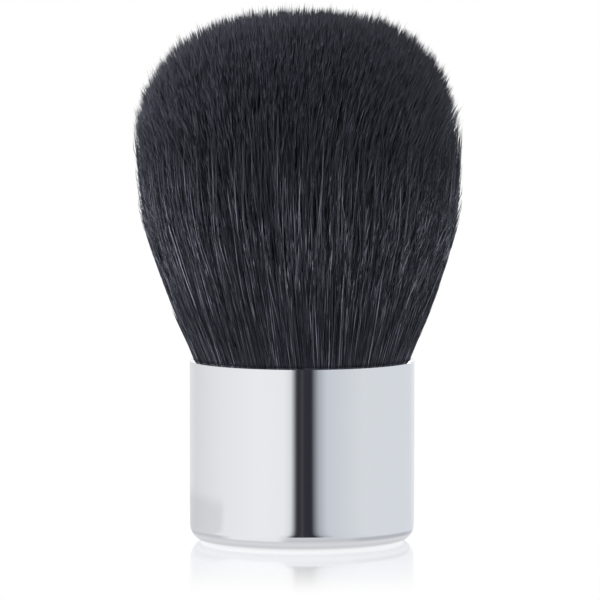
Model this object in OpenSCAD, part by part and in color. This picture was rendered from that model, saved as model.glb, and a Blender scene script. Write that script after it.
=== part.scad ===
// Kabuki makeup brush: a dense domed head of hair set in a short chromed cup.
// Millimetres, +Z up. The origin is the centre of the ring that the cup stands on.

/* [Cup] */
// Outer diameter of the drawn cup
cup_d = 32; // [27:0.5:39]
// Height of the cup from its foot to its lip
cup_h = 26; // [24:0.5:34]
// Wall of the cup
cup_wall = 0.5; // [0.4:0.05:0.8]
// Outside radius of the corner round the foot
cup_corner_r = 2.4; // [1.5:0.1:3.4]
// Width of the flat ring that the cup stands on, inside the corner
foot_ring_w = 2.3; // [1.5:0.1:4]
// Height that the panel inside that ring is pressed up
panel_h = 0.3; // [0.1:0.05:0.5]

/* [Weight] */
// Diameter of the steel weight
weight_d = 22; // [16:0.5:23]
// Thickness of the steel weight
weight_t = 6; // [3:0.5:8]
// Chamfer on both edges of the weight
weight_chamfer = 0.6; // [0.2:0.1:1]
// Diameter of the glue pad under the weight
pad_d = 17; // [10:0.5:20]
// Thickness of the glue pad
pad_t = 0.6; // [0.3:0.1:1.2]

/* [Core] */
// Gap between the core's lands and the cup's wall
core_gap = 0.15; // [0.1:0.01:0.3]
// Wall of the socket round the ferrule
socket_wall = 1.7; // [1.2:0.1:2.2]
// Wall of the pocket and of the skirt round it
skirt_wall = 1.2; // [0.8:0.1:1.6]
// Thickness of the floor between pocket and socket
septum_t = 1.5; // [1:0.1:2.5]
// Diameter of the vent hole in that floor
vent_d = 3; // [2:0.5:6]
// Ribs between the pocket and the skirt
rib_count = 12; // [6:1:18]
// Thickness of those ribs
rib_t = 0.9; // [0.6:0.1:1.4]
// Crush ribs on each land outside
crush_count = 8; // [4:1:16]
// Radius of a crush rib
crush_r = 0.35; // [0.25:0.05:0.6]
// Height of the glue band outside
band_h = 7; // [4:0.5:9]
// Depth of the glue band
band_depth = 0.45; // [0.3:0.05:0.8]

/* [Ferrule] */
// Length of the ferrule from its foot to the middle of its curled edge
ferrule_len = 9.5; // [8:0.5:12]
// Wall of the ferrule
ferrule_wall = 0.5; // [0.4:0.05:0.7]
// Width of the inturned foot
foot_w = 1.4; // [0.8:0.1:3]
// Inside radius of the crimp bead
bead_r = 0.4; // [0.2:0.05:0.6]
// Height of the crimp bead above the foot
bead_z = 1.9; // [1.6:0.1:2.4]
// Outside radius of the curled edge
curl_r = 0.8; // [0.7:0.05:1]
// Depth of cast resin above the foot
resin_depth = 3.1; // [2.6:0.1:4]

/* [Binding] */
// Diameter of the binding thread
thread_d = 0.5; // [0.4:0.05:0.7]
// Clear gap between one turn and the next
thread_gap = 0.5; // [0.45:0.05:0.8]
// Turns of thread round the root
thread_turns = 4; // [2:1:5]

/* [Hair] */
// Height of the whole brush
brush_h = 76; // [68:1:92]
// Diameter round the head at its widest
head_d = 46.5; // [39:0.5:56]
// Height of the widest place
widest_z = 56.5; // [50:0.5:62]
// How fast the sides straighten above the lip
flare_power = 1.9; // [1.4:0.1:2.4]
// Squareness of the dome, where 2 is an ellipse
dome_power = 2.3; // [2:0.1:3]
// Rings of strands from the middle to the outside
strand_rings = 9; // [6:1:9]
// Length of the tapered tip of a strand
taper_len = 6; // [5:0.5:10]
// Spread of the lengths of neighbouring strands
tip_scatter = 1.8; // [0:0.1:3]

/* [Hidden] */

round_fn = 96;
small_fn = 32;

// Clearances between pieces that seat on each other
seat_gap = 0.04;
film_gap = 0.02;
slip_gap = 0.1;
// How far a rib or a socket reaches into the wall it joins, so that both are one solid
weld = 0.2;

// Cup
cup_r = cup_d / 2;
cup_in_r = cup_r - cup_wall;
cup_floor_z = cup_wall + panel_h;
panel_r = cup_r - cup_corner_r - foot_ring_w - panel_h;

// Stack inside the cup, from the floor up
weight_r = weight_d / 2;
weight_z = cup_floor_z + pad_t;
septum_z = weight_z + weight_t + slip_gap;
socket_z = septum_z + septum_t;
ferrule_z = socket_z + seat_gap;
curl_z = ferrule_z + ferrule_len;
core_top_z = curl_z - curl_r - seat_gap;

// Core
core_r = cup_in_r - core_gap;
core_foot_z = cup_wall + seat_gap;
core_corner_r = cup_corner_r - cup_wall;
pocket_r = weight_r + slip_gap;
pocket_wall_r = pocket_r + skirt_wall;
skirt_in_r = core_r - skirt_wall;
socket_r = core_r - socket_wall;
socket_lead = 0.5;
band_z = septum_z + (core_top_z - septum_z - band_h) / 2;
crush_out = core_gap - 2 * film_gap;

// Ferrule and root
ferrule_r = socket_r - slip_gap;
ferrule_in_r = ferrule_r - ferrule_wall;
foot_in_r = ferrule_in_r - foot_w;
resin_z = ferrule_z + seat_gap;
resin_top_z = ferrule_z + ferrule_wall + resin_depth;

// Thread, wound as straight steps whose middles clear the root and whose corners clear the ferrule
loop_steps = 24;
thread_sides = 6;
thread_pitch = thread_d + thread_gap;
thread_clear = 0.12;
thread_r = ferrule_in_r - thread_clear - thread_d / 2;
root_r = thread_r * cos(180 / loop_steps) - thread_d / 2 - thread_clear;
root_z = resin_top_z + film_gap;
parting_z = curl_z + curl_r / 2;
thread_z = root_z + thread_clear + thread_d / 2;

// Head
head_r = head_d / 2;
dome_h = brush_h - widest_z;
lip_gap = 0.1;
lip_hair_r = cup_in_r - lip_gap;
low_bend_z = cup_h + (widest_z - cup_h) / 3;
high_bend_z = cup_h + (widest_z - cup_h) * 2 / 3;
strand_grip = 0.86;
tip_grip = 0.74;
lattice_scatter = 0.2;
tip_sway = 0.5;
scatter_seed = 41;

// Cup

// Solid half outline of a drawn cup: straight wall, rounded corner and a panel pressed up in the foot
module cup_half(r, h, corner, panel) {
    difference() {
        union() {
            square([r - corner, corner]);
            translate([0, corner]) square([r, h - corner]);
            translate([r - corner, corner]) circle(corner, $fn = round_fn);
        }
        polygon([[-1, -1], [panel + panel_h + 1, -1], [panel, panel_h], [-1, panel_h]]);
    }
}

module handle_cup() color("gainsboro") {
    lip_r = cup_wall / 2;
    rotate_extrude($fn = round_fn) {
        difference() {
            cup_half(cup_r, cup_h - lip_r, cup_corner_r, panel_r);
            translate([0, cup_wall])
                cup_half(cup_in_r, cup_h, cup_corner_r - cup_wall, panel_r + cup_wall * (sqrt(2) - 1));
        }
        translate([cup_in_r + lip_r, cup_h - lip_r]) circle(lip_r, $fn = small_fn);
    }
}

// Weight and glue

module base_weight() color("slategray") {
    rotate_extrude($fn = round_fn) translate([0, weight_z]) polygon([
        [0, 0],
        [weight_r - weight_chamfer, 0],
        [weight_r, weight_chamfer],
        [weight_r, weight_t - weight_chamfer],
        [weight_r - weight_chamfer, weight_t],
        [0, weight_t]
    ]);
}

// A drop of glue pressed flat, so its edge is half round
module weight_pad() color("khaki") {
    pad_r = pad_d / 2;
    h = pad_t - 2 * film_gap;
    rotate_extrude($fn = round_fn) translate([0, cup_floor_z + film_gap]) {
        square([pad_r - h / 2, h]);
        intersection() {
            translate([pad_r - h / 2, h / 2]) circle(h / 2, $fn = small_fn);
            square([pad_r, h]);
        }
    }
}

module bond_ring() color("wheat") {
    inner_r = core_r - band_depth + film_gap;
    rotate_extrude($fn = round_fn)
        translate([inner_r, band_z + film_gap]) square([cup_in_r - film_gap - inner_r, band_h - 2 * film_gap]);
}

// Core

// Half section of the core, without its ribs
module core_half() {
    difference() {
        union() {
            translate([0, core_foot_z]) square([core_r - core_corner_r, core_corner_r]);
            translate([0, core_foot_z + core_corner_r]) square([core_r, core_top_z - core_foot_z - core_corner_r]);
            translate([core_r - core_corner_r, core_foot_z + core_corner_r]) circle(core_corner_r, $fn = round_fn);
        }
        translate([-1, 0]) square([pocket_r + 1, septum_z]);
        // The pocket's wall stops short of the panel pressed up in the cup's foot
        translate([-1, 0]) square([pocket_wall_r + 1, cup_floor_z + seat_gap]);
        if (skirt_in_r > pocket_wall_r)
            translate([pocket_wall_r, 0]) square([skirt_in_r - pocket_wall_r, septum_z]);
        translate([-1, 0]) square([vent_d / 2 + 1, core_top_z]);
        translate([0, socket_z]) square([socket_r, core_top_z]);
        translate([0, core_top_z - socket_lead])
            polygon([[0, 0], [socket_r, 0], [socket_r + socket_lead + 1, socket_lead + 1], [0, socket_lead + 1]]);
        translate([core_r - band_depth, band_z]) square([band_depth + 1, band_h]);
    }
}

module crush_rib(z, h) {
    translate([core_r + crush_out - crush_r, 0, z]) cylinder(r = crush_r, h = h, $fn = small_fn);
}

module core_sleeve() color("dimgray") {
    rib_in_r = pocket_wall_r - weld;
    rib_foot_z = core_foot_z + core_corner_r;
    rotate_extrude($fn = round_fn) core_half();
    if (skirt_in_r > pocket_wall_r)
        for (i = [0 : rib_count - 1])
            rotate(360 * i / rib_count)
                translate([rib_in_r, -rib_t / 2, rib_foot_z])
                    cube([skirt_in_r + weld - rib_in_r, rib_t, septum_z + weld - rib_foot_z]);
    for (i = [0 : crush_count - 1])
        rotate(360 * (i + 0.5) / crush_count) {
            crush_rib(rib_foot_z + weld, band_z - rib_foot_z - 2 * weld);
            crush_rib(band_z + band_h + weld, core_top_z - band_z - band_h - 2 * weld);
        }
}

// Ferrule and resin

// Half ring of the crimp bead, hollow outside and round inside
module bead_half(r) {
    translate([ferrule_r, ferrule_z + bead_z]) circle(r, $fn = small_fn);
}

module ferrule() color("silver") {
    rotate_extrude($fn = round_fn) {
        difference() {
            union() {
                translate([ferrule_in_r, ferrule_z]) square([ferrule_wall, ferrule_len]);
                translate([foot_in_r, ferrule_z]) square([foot_w + weld, ferrule_wall]);
                intersection() {
                    bead_half(bead_r + ferrule_wall);
                    translate([0, ferrule_z]) square([ferrule_r, ferrule_len]);
                }
            }
            bead_half(bead_r);
        }
        difference() {
            translate([ferrule_in_r + curl_r, curl_z]) circle(curl_r, $fn = small_fn);
            translate([ferrule_in_r + curl_r, curl_z]) circle(curl_r - ferrule_wall, $fn = small_fn);
            translate([ferrule_in_r, curl_z - curl_r]) square([curl_r, curl_r]);
        }
    }
}

module root_resin() color("darkgoldenrod") {
    rotate_extrude($fn = round_fn) difference() {
        union() {
            translate([0, resin_z]) square([foot_in_r - film_gap, resin_top_z - resin_z]);
            translate([0, ferrule_z + ferrule_wall + film_gap])
                square([ferrule_in_r - film_gap, resin_depth - film_gap]);
        }
        bead_half(bead_r + ferrule_wall + film_gap);
    }
}

// Binding thread

function unit(v) = v / norm(v);

// Point of the wound thread at a number of steps from its start
function thread_at(step) = [
    thread_r * cos(360 * step / loop_steps),
    thread_r * sin(360 * step / loop_steps),
    thread_z + thread_pitch * step / loop_steps
];

thread_steps = thread_turns * loop_steps;
thread_coil = [for (s = [0 : thread_steps]) thread_at(s)];
// Both ends run straight on for one diameter of the thread
thread_start = thread_coil[0] - thread_d * unit(thread_coil[1] - thread_coil[0]);
thread_end = thread_coil[thread_steps]
    + thread_d * unit(thread_coil[thread_steps] - thread_coil[thread_steps - 1]);
thread_path = concat([thread_start], thread_coil, [thread_end]);

// Corner of a round of the tube at a point of a path, with one side of the round kept level
function tube_corner(path, i, corner) =
    let (
        last = len(path) - 1,
        along = unit(path[min(i + 1, last)] - path[max(i - 1, 0)]),
        level = unit(cross([0, 0, 1], along)),
        up = cross(along, level),
        a = 360 * corner / thread_sides
    )
    path[i] + thread_d / 2 * (cos(a) * level + sin(a) * up);

// One unbroken tube along a path, closed by a flat fan at each end
module tube(path, sides) {
    rounds = len(path);
    points = concat(
        [for (i = [0 : rounds - 1]) for (c = [0 : sides - 1]) tube_corner(path, i, c)],
        [path[0], path[rounds - 1]]
    );
    faces = concat(
        [for (i = [0 : rounds - 2]) for (c = [0 : sides - 1]) for (half = [0, 1])
            let (
                a = i * sides + c,
                b = i * sides + (c + 1) % sides
            )
            half == 0 ? [a, b + sides, b] : [a, a + sides, b + sides]],
        [for (c = [0 : sides - 1]) [rounds * sides, c, (c + 1) % sides]],
        [for (c = [0 : sides - 1])
            [rounds * sides + 1, (rounds - 1) * sides + (c + 1) % sides, (rounds - 1) * sides + c]]
    );
    polyhedron(points, faces);
}

// Least gap of the tube to itself: centre to centre over points at least half a loop apart, less its diameter
thread_least_gap = min([for (i = [0 : thread_steps]) for (j = [i + loop_steps / 2 : 1 : thread_steps])
    norm(thread_coil[i] - thread_coil[j])]) - thread_d;
echo("least gap of the binding thread to itself, mm", thread_least_gap);

module binding_thread() color("ivory") tube(thread_path, thread_sides);

// Hair: a round lattice of triangles fills the root, and each triangle grows into one three-sided strand.
// All strands follow the same spread from the root outwards, each a little thinner than its cell, so none cross.

// Radius of the whole bundle at a height, from the root through the lip to the widest place
function bundle_r(z) =
    z < cup_h
    ? root_r + (lip_hair_r - root_r) * (z - parting_z) / (cup_h - parting_z)
    : head_r - (head_r - lip_hair_r) * pow(1 - min(1, (z - cup_h) / (widest_z - cup_h)), flare_power);

// Height of the dome above a share of the head's radius
function dome_z(share) = widest_z + dome_h * pow(1 - pow(min(1, share), dome_power), 1 / dome_power);

// Number of a lattice point, and the points themselves on a unit disc, each moved a little.
// Outside, points only move inwards, and those nearest the axes stay, so that the head keeps its width.
function point_no(ring, i) = ring == 0 ? 0 : 1 + 3 * ring * (ring - 1) + i % (6 * ring);
lattice_count = 1 + 3 * strand_rings * (strand_rings + 1);
lattice_moves = rands(-lattice_scatter, lattice_scatter, 2 * lattice_count, scatter_seed);
function moved(ring, i) =
    let (
        n = point_no(ring, i),
        outside = ring == strand_rings,
        step = 60 / max(ring, 1),
        near_axis = abs(sin(2 * i * step)) < sin(1.02 * step),
        free = outside && near_axis ? 0 : 1,
        out = outside ? -abs(lattice_moves[2 * n]) : lattice_moves[2 * n],
        r = (ring + free * out) / strand_rings,
        a = step * (i + free * lattice_moves[2 * n + 1])
    )
    r * [cos(a), sin(a)];
lattice = concat([[0, 0]], [for (k = [1 : strand_rings]) for (i = [0 : 6 * k - 1]) moved(k, i)]);

// Cells of the lattice as [ring, three point numbers], counterclockwise from above
cells = [for (k = [1 : strand_rings]) for (q = [0 : 5]) for (j = [0 : 2 * k - 2])
    j < k
    ? [k, [point_no(k, q * k + j), point_no(k, q * k + j + 1), point_no(k - 1, q * (k - 1) + j)]]
    : let (m = j - k)
      [k, [point_no(k - 1, q * (k - 1) + m), point_no(k, q * k + m + 1), point_no(k - 1, q * (k - 1) + m + 1)]]];

tip_moves = rands(0, 1, 3 * len(cells), scatter_seed + 1);
function middle(cell) = (lattice[cell[1][0]] + lattice[cell[1][1]] + lattice[cell[1][2]]) / 3;
function tip_z(c) =
    dome_z(norm(middle(cells[c]))) - (cells[c][0] == 1 ? 0 : tip_scatter * tip_moves[3 * c]);

// Heights of a strand's rounds: the outer strands show, so they bend in more places
function round_heights(c) =
    let (ring = cells[c][0])
    concat(
        ring == strand_rings ? [cup_h, low_bend_z, high_bend_z] : [],
        ring < strand_rings && ring > strand_rings / 2 + 1 ? [low_bend_z] : [],
        [tip_z(c) - taper_len]
    );

// Corner of a strand at a height, drawn in towards the middle of its cell
function strand_corner(cell, corner, z, grip) =
    let (
        m = middle(cell),
        p = bundle_r(z) * (m + grip * (lattice[cell[1][corner]] - m))
    )
    [p[0], p[1], z];

function strand_points(c) =
    let (
        heights = round_heights(c),
        last = len(heights) - 1,
        apex = bundle_r(tip_z(c)) * middle(cells[c])
            + tip_sway * [tip_moves[3 * c + 1] - 0.5, tip_moves[3 * c + 2] - 0.5]
    )
    concat(
        [for (h = [0 : last]) for (corner = [0 : 2])
            strand_corner(cells[c], corner, heights[h], h == last ? tip_grip : strand_grip)],
        [[apex[0], apex[1], tip_z(c)]]
    );

// Number of a strand's first own point, after the root's foot ring, its centre and the lattice
strand_sizes = [for (c = [0 : len(cells) - 1]) 3 * len(round_heights(c)) + 1];
outer_count = 6 * strand_rings;
own_start = lattice_count + outer_count + 1;
function running(sizes, i = 0, sum = own_start) =
    i == len(sizes) ? [] : concat([sum], running(sizes, i + 1, sum + sizes[i]));
strand_starts = running(strand_sizes);

// Point number of a strand's corner at a round, where round 0 is its cell in the lattice
function corner_no(c, round, corner) =
    round == 0 ? cells[c][1][corner] : strand_starts[c] + 3 * (round - 1) + corner;

function strand_faces(c) =
    let (
        rounds = len(round_heights(c)),
        apex = strand_starts[c] + 3 * rounds
    )
    concat(
        [for (r = [0 : rounds - 1]) for (k = [0 : 2]) for (half = [0, 1])
            let (
                a = corner_no(c, r, k),
                b = corner_no(c, r, (k + 1) % 3),
                a_up = corner_no(c, r + 1, k),
                b_up = corner_no(c, r + 1, (k + 1) % 3)
            )
            half == 0 ? [a, a_up, b_up] : [a, b_up, b]],
        [for (k = [0 : 2]) [corner_no(c, rounds, k), apex, corner_no(c, rounds, (k + 1) % 3)]]
    );

module hair_bundle() color([0.12, 0.12, 0.14]) {
    foot_start = lattice_count;
    foot_centre = lattice_count + outer_count;
    outer_start = point_no(strand_rings, 0);
    points = concat(
        [for (p = lattice) [root_r * p[0], root_r * p[1], parting_z]],
        [for (i = [0 : outer_count - 1]) let (p = lattice[outer_start + i]) [root_r * p[0], root_r * p[1], root_z]],
        [[0, 0, root_z]],
        [for (c = [0 : len(cells) - 1]) each strand_points(c)]
    );
    faces = concat(
        [for (i = [0 : outer_count - 1])
            let (n = (i + 1) % outer_count)
            each [
                [foot_centre, foot_start + i, foot_start + n],
                [foot_start + i, outer_start + i, outer_start + n],
                [foot_start + i, outer_start + n, foot_start + n]
            ]],
        [for (c = [0 : len(cells) - 1]) each strand_faces(c)]
    );
    polyhedron(points, faces);
}

handle_cup();
core_sleeve();
base_weight();
weight_pad();
bond_ring();
ferrule();
root_resin();
binding_thread();
hair_bundle();
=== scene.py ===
"""The looks of a kabuki makeup brush: a chromed cup, a domed head of black hair, what the cup hides, and a studio.

Sizes are in metres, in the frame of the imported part, whose nodes the script loads first.
"""

import math

import bpy
import numpy as np
from bpy.props import FloatProperty, FloatVectorProperty, IntProperty, PointerProperty
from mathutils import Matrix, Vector
from mathutils.kdtree import KDTree


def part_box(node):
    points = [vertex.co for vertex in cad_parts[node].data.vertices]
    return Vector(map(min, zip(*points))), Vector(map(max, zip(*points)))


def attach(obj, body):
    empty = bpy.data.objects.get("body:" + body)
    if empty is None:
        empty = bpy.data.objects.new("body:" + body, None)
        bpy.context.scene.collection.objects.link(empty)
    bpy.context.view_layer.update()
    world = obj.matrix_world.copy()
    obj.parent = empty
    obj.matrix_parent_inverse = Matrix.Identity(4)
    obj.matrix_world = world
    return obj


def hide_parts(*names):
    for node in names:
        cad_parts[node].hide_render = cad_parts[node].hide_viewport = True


bl_info = {
    "name": "Kabuki brush",
    "version": (1, 0, 0),
    "blender": (4, 5, 0),
    "location": "3D View > Sidebar > Brush",
    "description": "Finishes a kabuki makeup brush: its cup, its hair, its inner pieces and the studio round it",
    "category": "Object",
}

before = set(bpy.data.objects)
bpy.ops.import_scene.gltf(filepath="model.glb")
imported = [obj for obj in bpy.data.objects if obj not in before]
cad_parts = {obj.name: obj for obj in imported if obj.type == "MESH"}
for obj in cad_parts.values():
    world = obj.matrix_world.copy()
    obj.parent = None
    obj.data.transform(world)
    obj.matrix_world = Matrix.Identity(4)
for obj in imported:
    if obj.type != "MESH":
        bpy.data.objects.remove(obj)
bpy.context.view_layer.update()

MM = 0.001
BODY = "root"
HAIR_MAP = "OFBake"
cup_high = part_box("handle_cup")[1]
thread_low, thread_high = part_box("binding_thread")
hair_low, hair_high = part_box("hair_bundle")


# Settings


class CupSettings(bpy.types.PropertyGroup):
    """Sizes and colour of the chromed cup."""

    wall: FloatProperty(name="Wall", description="Thickness of the drawn sheet", default=0.5 * MM, unit="LENGTH")
    corner: FloatProperty(
        name="Corner", description="Outside radius of the corner round the foot", default=2.4 * MM, unit="LENGTH"
    )
    foot_ring: FloatProperty(
        name="Foot ring", description="Width of the flat ring the cup stands on", default=2.3 * MM, unit="LENGTH"
    )
    panel: FloatProperty(
        name="Panel", description="Height that the foot's panel is pressed up", default=0.3 * MM, unit="LENGTH"
    )
    lip: FloatProperty(name="Lip", description="Height of the slope on the lip", default=0.22 * MM, unit="LENGTH")
    steps: IntProperty(name="Steps", description="Faces round the cup", default=288, min=24)
    chrome: FloatVectorProperty(
        name="Chrome", description="Colour of the plating", default=(0.90, 0.905, 0.92), subtype="COLOR"
    )
    polish: FloatProperty(
        name="Polish", description="Roughness of the plating", default=0.035, min=0, max=1, subtype="FACTOR"
    )


class ThreadSettings(bpy.types.PropertyGroup):
    """Sizes and colour of the thread bound round the root of the hair."""

    diameter: FloatProperty(name="Diameter", description="Diameter of the thread", default=0.5 * MM, unit="LENGTH")
    gap: FloatProperty(name="Gap", description="Clear gap between turns", default=0.5 * MM, unit="LENGTH")
    turns: IntProperty(name="Turns", description="Turns round the root", default=4, min=1)
    lay: FloatProperty(name="Lay", description="Length of one twist of the plies", default=1.9 * MM, unit="LENGTH")
    cotton: FloatVectorProperty(
        name="Cotton", description="Colour of the thread", default=(0.62, 0.56, 0.44), subtype="COLOR"
    )


class HairSettings(bpy.types.PropertyGroup):
    """Shape, number and colour of the hairs, and how they lie."""

    root_radius: FloatProperty(
        name="Root radius", description="Radius of the bound root", default=12.2 * MM, unit="LENGTH"
    )
    parting: FloatProperty(
        name="Parting", description="Height at which the hairs leave the root", default=18.9 * MM, unit="LENGTH"
    )
    lip_radius: FloatProperty(
        name="Lip radius", description="Radius of the hair in the cup's lip", default=15.4 * MM, unit="LENGTH"
    )
    held: FloatProperty(
        name="Held",
        description="Depth below the lip in which the cup's wall holds the hair",
        default=2.2 * MM,
        unit="LENGTH",
    )
    flare: FloatProperty(name="Flare", description="Slope of the outer hairs as they leave the lip", default=0.475)
    far_flare: FloatProperty(name="Far flare", description="Slope of the outer hairs far from the lip", default=0.225)
    bend: FloatProperty(
        name="Bend",
        description="Length in which the slope changes from one to the other",
        default=12.5 * MM,
        unit="LENGTH",
    )
    splay: FloatProperty(name="Splay", description="How much more the outer tips turn outwards", default=0.5)
    head_radius: FloatProperty(
        name="Head radius", description="Radius of the head at its widest", default=23.2 * MM, unit="LENGTH"
    )
    widest: FloatProperty(
        name="Widest", description="Height of the widest place", default=58.1 * MM, unit="LENGTH"
    )
    draw_in: FloatProperty(name="Draw in", description="Slope of the cut side below the widest place", default=0.06)
    dome: FloatProperty(name="Dome", description="Squareness of the dome, where 2 is an ellipse", default=2.75)
    lean: FloatProperty(
        name="Lean",
        description="How far the head leans to the left where it is widest",
        default=0.45 * MM,
        unit="LENGTH",
    )
    sway: FloatProperty(
        name="Sway",
        description="How far the hairs bow to the left between the lip and the top",
        default=1.3 * MM,
        unit="LENGTH",
    )
    count: IntProperty(name="Hairs", description="Hairs whose tips make the dome", default=46000, min=1000)
    width: FloatProperty(name="Width", description="Width of a hair", default=0.10 * MM, unit="LENGTH")
    tuft: FloatProperty(name="Tuft", description="Distance between tufts of tips", default=0.5 * MM, unit="LENGTH")
    seed: IntProperty(name="Seed", description="Start of the random draws", default=7)
    dark: FloatVectorProperty(
        name="Dark", description="Colour of the darkest hairs", default=(0.0030, 0.0031, 0.0058), subtype="COLOR"
    )
    light: FloatVectorProperty(
        name="Light", description="Colour of the lightest hairs", default=(0.320, 0.323, 0.335), subtype="COLOR"
    )
    blue: FloatVectorProperty(
        name="Blue",
        description="Colour of the lightest hairs with a blue cast",
        default=(0.300, 0.302, 0.350),
        subtype="COLOR",
    )


class StudioSettings(bpy.types.PropertyGroup):
    """The camera and the lamps."""

    distance: FloatProperty(
        name="Distance", description="From the camera to the brush", default=0.9, unit="LENGTH"
    )
    pitch: FloatProperty(
        name="Pitch", description="How far the camera looks down", default=math.radians(4.45), subtype="ANGLE"
    )
    aim_x: FloatProperty(name="Aim X", description="Place the camera looks at", default=-0.29 * MM, unit="LENGTH")
    aim_z: FloatProperty(name="Aim Z", description="Height the camera looks at", default=34.39 * MM, unit="LENGTH")
    lens: FloatProperty(name="Lens", description="Focal length in millimetres", default=378.8)
    daylight: FloatProperty(name="Daylight", description="Strength of the light from all round", default=0.38)
    key: FloatProperty(name="Key", description="Power of the lamp on the left, in watts", default=22.0)
    rim: FloatProperty(name="Rim", description="Power of the lamp on the left and behind, in watts", default=21.0)
    fill: FloatProperty(name="Fill", description="Power of the lamp on the right, in watts", default=25.0)
    back: FloatProperty(name="Back", description="Power of the lamp behind, in watts", default=8.0)
    top: FloatProperty(name="Top", description="Power of the lamp overhead, in watts", default=0.2)


# Shader maths


class Wire:
    """An output of a node. Sums on it add Math nodes."""

    def __init__(self, tree, socket):
        self.tree, self.socket = tree, socket

    def maths(self, operation, *values):
        return self.tree.add("ShaderNodeMath", {"operation": operation}, dict(enumerate(values)))

    def __add__(self, other):
        return self.maths("ADD", self, other)

    def __sub__(self, other):
        return self.maths("SUBTRACT", self, other)

    def __rsub__(self, other):
        return self.maths("SUBTRACT", other, self)

    def __mul__(self, other):
        return self.maths("MULTIPLY", self, other)

    def __truediv__(self, other):
        return self.maths("DIVIDE", self, other)

    def __pow__(self, other):
        return self.maths("POWER", self, other)

    def __gt__(self, other):
        return self.maths("GREATER_THAN", self, other)

    __radd__ = __add__
    __rmul__ = __mul__

    def between(self, low, high):
        """0 below low, 1 above high and smooth in between."""
        settings = {"interpolation_type": "SMOOTHSTEP"}
        return self.tree.add("ShaderNodeMapRange", settings, {"Value": self, "From Min": low, "From Max": high})


class Tree:
    """The nodes of a material or world, added one by one."""

    def __init__(self, owner, output):
        owner.use_nodes = True
        self.owner, self.tree = owner, owner.node_tree
        self.tree.nodes.clear()
        self.end = self.tree.nodes.new(output)

    def add(self, kind, settings=None, sockets=None, output=0):
        """Adds a node: its settings first, then the values or wires of its sockets. Gives one output or several."""
        node = self.tree.nodes.new(kind)
        for name, value in (settings or {}).items():
            if name == "stops":
                self.set_stops(node.color_ramp, value)
            else:
                setattr(node, name, value)
        for name, value in (sockets or {}).items():
            if isinstance(value, Wire):
                self.tree.links.new(value.socket, node.inputs[name])
            else:
                node.inputs[name].default_value = value
        if isinstance(output, tuple):
            return tuple(Wire(self, node.outputs[name]) for name in output)
        return Wire(self, node.outputs[output])

    @staticmethod
    def set_stops(ramp, stops):
        while len(ramp.elements) < len(stops):
            ramp.elements.new(1)
        for element, (place, colour) in zip(ramp.elements, stops):
            element.position = place
            element.color = (*colour, 1)

    def finish(self, shader):
        self.tree.links.new(shader.socket, self.end.inputs["Surface"])

    def place(self):
        return self.add("ShaderNodeTexCoord", output="Object")

    def axes(self, vector):
        return self.add("ShaderNodeSeparateXYZ", sockets={"Vector": vector}, output=("X", "Y", "Z"))

    def join(self, x=0.0, y=0.0, z=0.0):
        return self.add("ShaderNodeCombineXYZ", sockets={"X": x, "Y": y, "Z": z})

    def scaled(self, vector, factors):
        return self.add("ShaderNodeVectorMath", {"operation": "MULTIPLY"}, {0: vector, 1: factors})

    def noise(self, vector, size, detail=3.0, rough=0.55):
        """Even noise from 0 to 1, whose grains are about size metres across."""
        sockets = {"Vector": vector, "Scale": 1 / size, "Detail": detail, "Roughness": rough}
        return self.add("ShaderNodeTexNoise", sockets=sockets)

    def mix(self, share, first, second):
        """Two colours mixed: the first at a share of 0, and the second at 1."""
        sockets = {0: share, 6: self.colour(first), 7: self.colour(second)}
        return self.add("ShaderNodeMix", {"data_type": "RGBA"}, sockets, 2)

    @staticmethod
    def colour(value):
        return value if isinstance(value, Wire) or len(value) == 4 else (*value, 1)

    def ramp(self, share, stops):
        return self.add("ShaderNodeValToRGB", {"stops": stops}, {"Fac": share})

    def bump(self, height, depth):
        """Height from 0 to 1 as relief of a depth in metres."""
        return self.add("ShaderNodeBump", sockets={"Height": height, "Distance": depth})

    def principled(self, **sockets):
        named = {name.replace("_", " ").title(): value for name, value in sockets.items()}
        named = {name.replace("Ior", "IOR"): value for name, value in named.items()}
        for name in ("Base Color", "Specular Tint"):
            if name in named:
                named[name] = self.colour(named[name])
        return self.add("ShaderNodeBsdfPrincipled", sockets=named)

    def surface(self, **sockets):
        """Ends a material with a principled shader, and gives the material."""
        self.finish(self.principled(**sockets))
        return self.owner

    def either(self, share, first, second):
        """Two shaders mixed: the first at a share of 0, and the second at 1."""
        return self.add("ShaderNodeMixShader", sockets={0: share, 1: first, 2: second})

    def glow(self, colour, strength=1.0):
        return self.add("ShaderNodeEmission", sockets={"Color": self.colour(colour), "Strength": strength})


def new_finish(name):
    """The empty tree of a new material."""
    return Tree(bpy.data.materials.new(name), "ShaderNodeOutputMaterial")


# Finishes


def chrome_finish(cup):
    """Bright plating with the faint swell of a polished drawing under it."""
    tree = new_finish("bright_chrome")
    place = tree.place()
    haze = tree.noise(place, 6 * MM, detail=2)
    wipe = tree.noise(tree.scaled(place, (1, 1, 6)), 1.5 * MM)
    swell = tree.noise(place, 5 * MM, detail=1)
    return tree.surface(
        base_color=tree.mix(haze * 0.12, tuple(cup.chrome), (0.80, 0.81, 0.83)),
        metallic=1.0,
        roughness=cup.polish + 0.02 * haze + 0.015 * wipe,
        normal=tree.bump(swell, 0.0016 * MM),
    )


def moulded_finish():
    """Black moulded plastic with a fine spark-eroded grain and faint flow marks along the pull."""
    tree = new_finish("moulded_black")
    place = tree.place()
    grain = tree.noise(place, 0.12 * MM)
    flow = tree.noise(tree.scaled(place, (1, 1, 0.15)), 1.2 * MM)
    return tree.surface(
        base_color=tree.mix(flow, (0.012, 0.012, 0.013), (0.030, 0.030, 0.032)),
        roughness=0.42 + 0.18 * grain,
        normal=tree.bump(grain, 0.006 * MM),
    )


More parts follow.
